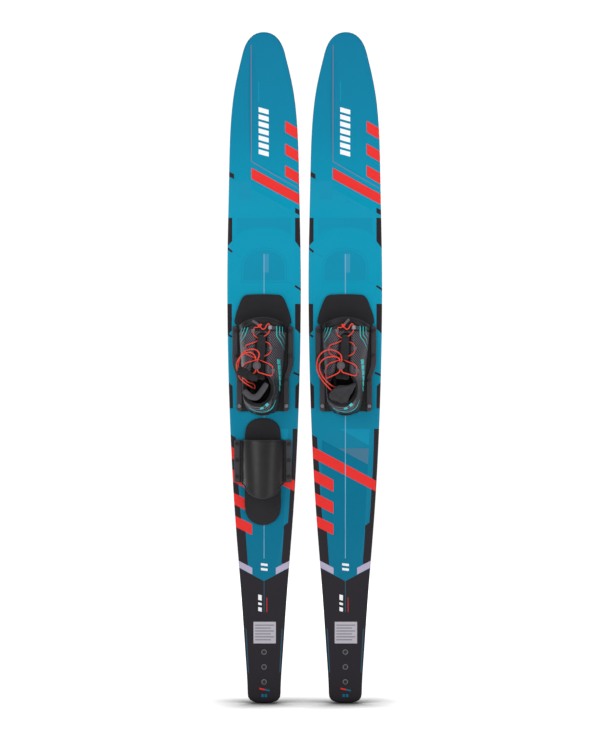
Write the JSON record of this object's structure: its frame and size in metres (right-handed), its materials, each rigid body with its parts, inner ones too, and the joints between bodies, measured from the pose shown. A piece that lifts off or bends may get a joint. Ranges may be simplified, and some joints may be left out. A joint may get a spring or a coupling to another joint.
{
  "type": "combination water ski pair",
  "caption": "Pair of wide water skis with laced adjustable boots, tail fins and a rear toe strap for riding one ski.",
  "frame": {"origin": "middle of the pair's footprint at the level of the tails", "axes": "+Z along the skis from tail to tip, +X from the left ski to the right ski, -Y out of the decks"},
  "size_m": [0.3946, 0.2138, 1.702],
  "materials": {
    "ski_laminate": "gloss clear coat over printed graphics",
    "foam_core": "rigid foam",
    "fin_plastic": "satin moulded nylon",
    "fin_washers": "satin moulded nylon",
    "dark_steel": "dark plated",
    "steel_screws": "plated",
    "brass": "turned",
    "eva_foam": "matte moulded foam",
    "rail_nylon": "satin glass-filled nylon",
    "boot_upper": "satin moulded foam and rubber",
    "liner_foam": "stretch fabric over foam",
    "tongue_fabric": "woven fabric over foam",
    "keeper_plastic": "satin moulded plastic",
    "lace_cord": "braided elastic cord",
    "lock_plastic": "satin moulded plastic",
    "spring_wire": "bright wire",
    "strap_rubber": "satin rubber"
  },
  "bodies": {
    "left_ski": {"left_ski_shell": "ski_laminate", "left_ski_core": "foam_core", "left_fin": "fin_plastic", "left_fin_inserts": "brass", "left_fin_cup_washers": "fin_washers", "left_fin_screws": "dark_steel", "left_foot_pad": "eva_foam", "left_boot_plate": "rail_nylon", "left_boot_upper": "boot_upper", "left_boot_liner": "liner_foam", "left_boot_insole": "eva_foam", "left_boot_tongue": "tongue_fabric", "left_lace_keepers": "keeper_plastic", "left_inboard_rail": "rail_nylon", "left_outboard_rail": "rail_nylon", "left_rail_screws": "steel_screws", "left_rail_inserts": "brass", "left_lace_first_strand": "lace_cord", "left_lace_second_strand": "lace_cord", "left_lace_loop": "lace_cord", "left_lace_knot": "lace_cord", "left_lace_end_tab": "keeper_plastic", "left_cord_lock_body": "lock_plastic", "left_cord_lock_spring": "spring_wire", "left_toe_loop_pad": "eva_foam", "left_toe_loop_strap": "strap_rubber", "left_toe_loop_inboard_rail": "rail_nylon", "left_toe_loop_outboard_rail": "rail_nylon", "left_toe_loop_screws": "steel_screws", "left_toe_loop_inserts": "brass"},
    "right_ski": {"right_ski_shell": "ski_laminate", "right_ski_core": "foam_core", "right_fin": "fin_plastic", "right_fin_inserts": "brass", "right_fin_cup_washers": "fin_washers", "right_fin_screws": "dark_steel", "right_foot_pad": "eva_foam", "right_boot_plate": "rail_nylon", "right_boot_upper": "boot_upper", "right_boot_liner": "liner_foam", "right_boot_insole": "eva_foam", "right_boot_tongue": "tongue_fabric", "right_lace_keepers": "keeper_plastic", "right_inboard_rail": "rail_nylon", "right_outboard_rail": "rail_nylon", "right_rail_screws": "steel_screws", "right_rail_inserts": "brass", "right_lace_first_strand": "lace_cord", "right_lace_second_strand": "lace_cord", "right_lace_loop": "lace_cord", "right_lace_knot": "lace_cord", "right_lace_end_tab": "keeper_plastic", "right_cord_lock_body": "lock_plastic", "right_cord_lock_spring": "spring_wire"},
    "left_lock_button": {"left_cord_lock_button": "lock_plastic"},
    "right_lock_button": {"right_cord_lock_button": "lock_plastic"}
  },
  "joints": [
    {"name": "pair_apart", "type": "slide", "parent": "left_ski", "child": "right_ski", "axis": [1, 0, 0], "range_m": [0, 0.25]},
    {"name": "left_lock_press", "type": "slide", "parent": "left_ski", "child": "left_lock_button", "axis": [0, 1, 0], "range_m": [0, 0.003], "stiffness_N_per_m": 600, "springref_m": -0.002, "deforming": ["left_cord_lock_spring"]},
    {"name": "right_lock_press", "type": "slide", "parent": "right_ski", "child": "right_lock_button", "axis": [0, 1, 0], "range_m": [0, 0.003], "stiffness_N_per_m": 600, "springref_m": -0.002, "deforming": ["right_cord_lock_spring"]}
  ]
}
